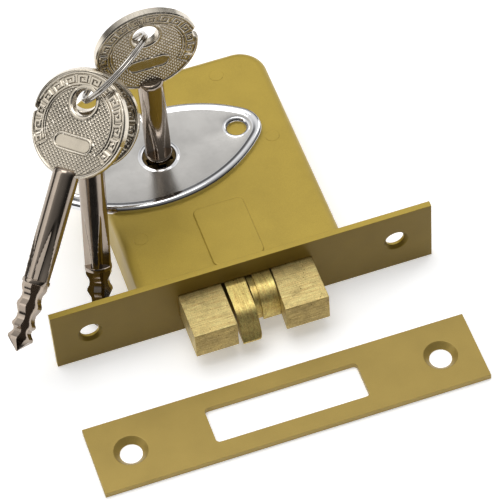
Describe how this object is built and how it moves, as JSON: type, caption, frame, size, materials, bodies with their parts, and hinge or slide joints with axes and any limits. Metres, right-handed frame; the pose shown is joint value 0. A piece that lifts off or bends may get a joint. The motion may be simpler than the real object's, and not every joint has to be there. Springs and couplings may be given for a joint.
{
  "type": "mortise lock",
  "caption": "Mortise dead lock with slotted faceplate, square bolt heads and sprung tongues, cross-key cylinder, oval escutcheon, strike plate and cross keys on a ring.",
  "frame": {"origin": "middle of the faceplate's front face, midway between its two screw holes", "axes": "+X along the faceplate, +Y into the case (the way the bolt retracts), +Z out of the keyhole side, along the key"},
  "size_m": [0.1337, 0.1318, 0.0894],
  "materials": {
    "faceplate_paint": "olive-gold lacquer, semi-gloss",
    "case_paint": "olive-gold lacquer, semi-gloss",
    "strike_brass": "satin brass-plated steel",
    "head_brass": "raw cast brass, brushed",
    "tongue_brass": "raw brass, lightly polished",
    "escutcheon_chrome": "satin top with polished rim",
    "key_nickel": "nickel plate",
    "ring_steel": "nickel-plated wire",
    "steel": "zinc-plated steel",
    "spring_steel": "spring wire",
    "brass_satin": "machined brass"
  },
  "bodies": {
    "case": {"faceplate": "faceplate_paint", "case_shell": "case_paint", "case_cover": "case_paint", "case_posts": "case_paint", "faceplate_rivets": "steel", "cylinder_body": "brass_satin", "cylinder_sleeve": "steel", "cylinder_bracket": "steel", "bracket_screws": "steel", "driver_pins": "brass_satin", "pin_springs": "spring_steel", "guide_post": "steel", "detent_leaf": "spring_steel", "leaf_stud": "steel", "carriage_guide": "steel"},
    "bolt": {"bolt_carriage": "steel", "bolt_head_left": "head_brass", "bolt_head_right": "head_brass", "bolt_rivets": "steel", "latch_spring": "spring_steel", "guard_spring": "spring_steel"},
    "latch": {"latch_tongue": "tongue_brass"},
    "guard": {"guard_tongue": "tongue_brass"},
    "plug": {"cylinder_plug": "brass_satin", "cam_wheel": "steel", "drive_pin": "steel", "key_pins": "brass_satin"},
    "lock_key": {"lock_key_bow": "key_nickel", "lock_key_shaft": "key_nickel"},
    "ring": {"split_ring": "ring_steel"},
    "front_key": {"front_key_bow": "key_nickel", "front_key_shaft": "key_nickel"},
    "rear_key": {"rear_key_bow": "key_nickel", "rear_key_shaft": "key_nickel"},
    "escutcheon": {"escutcheon": "escutcheon_chrome"},
    "strike": {"strike_plate": "strike_brass"}
  },
  "joints": [
    {"name": "plug_turn", "type": "hinge", "parent": "case", "child": "plug", "pos_m": [-0.011, 0.048, 0.004], "axis": [0, 0, -1], "range_deg": [0, 90]},
    {"name": "bolt_slide", "type": "slide", "parent": "case", "child": "bolt", "axis": [0, 1, 0], "range_m": [0, 0.016]},
    {"name": "latch_push", "type": "slide", "parent": "bolt", "child": "latch", "axis": [0, 1, 0], "range_m": [0, 0.0075], "stiffness_N_per_m": 300, "springref_m": -0.004, "deforming": ["latch_spring"]},
    {"name": "guard_push", "type": "slide", "parent": "bolt", "child": "guard", "axis": [0, 1, 0], "range_m": [0, 0.006], "stiffness_N_per_m": 300, "springref_m": -0.004, "deforming": ["guard_spring"]},
    {"name": "key_draw", "type": "slide", "parent": "plug", "child": "lock_key", "axis": [0, 0, 1], "range_m": [0, 0.03]},
    {"name": "ring_swing", "type": "hinge", "parent": "lock_key", "child": "ring", "pos_m": [-0.011, 0.048, 0.0683], "axis": [0, 1, 0], "range_deg": [0, 12]},
    {"name": "front_key_swing", "type": "hinge", "parent": "ring", "child": "front_key", "pos_m": [-0.03325, 0.03556, 0.0602], "axis": [-0.5496, -0.3216, 0.771], "range_deg": [0, 10]},
    {"name": "rear_key_swing", "type": "hinge", "parent": "ring", "child": "rear_key", "pos_m": [-0.03197, 0.04284, 0.0541], "axis": [0.3932, 0.7805, -0.486], "range_deg": [0, 10]},
    {"name": "escutcheon_lift", "type": "slide", "parent": "case", "child": "escutcheon", "axis": [0, 0, 1], "range_m": [0, 0.003]},
    {"name": "strike_lift", "type": "slide", "parent": "case", "child": "strike", "axis": [0, 0, 1], "range_m": [0, 0.02]}
  ],
  "couplings": [
    {"joint": "bolt_slide", "follows": "plug_turn", "m_per_rad": 0.010185}
  ]
}
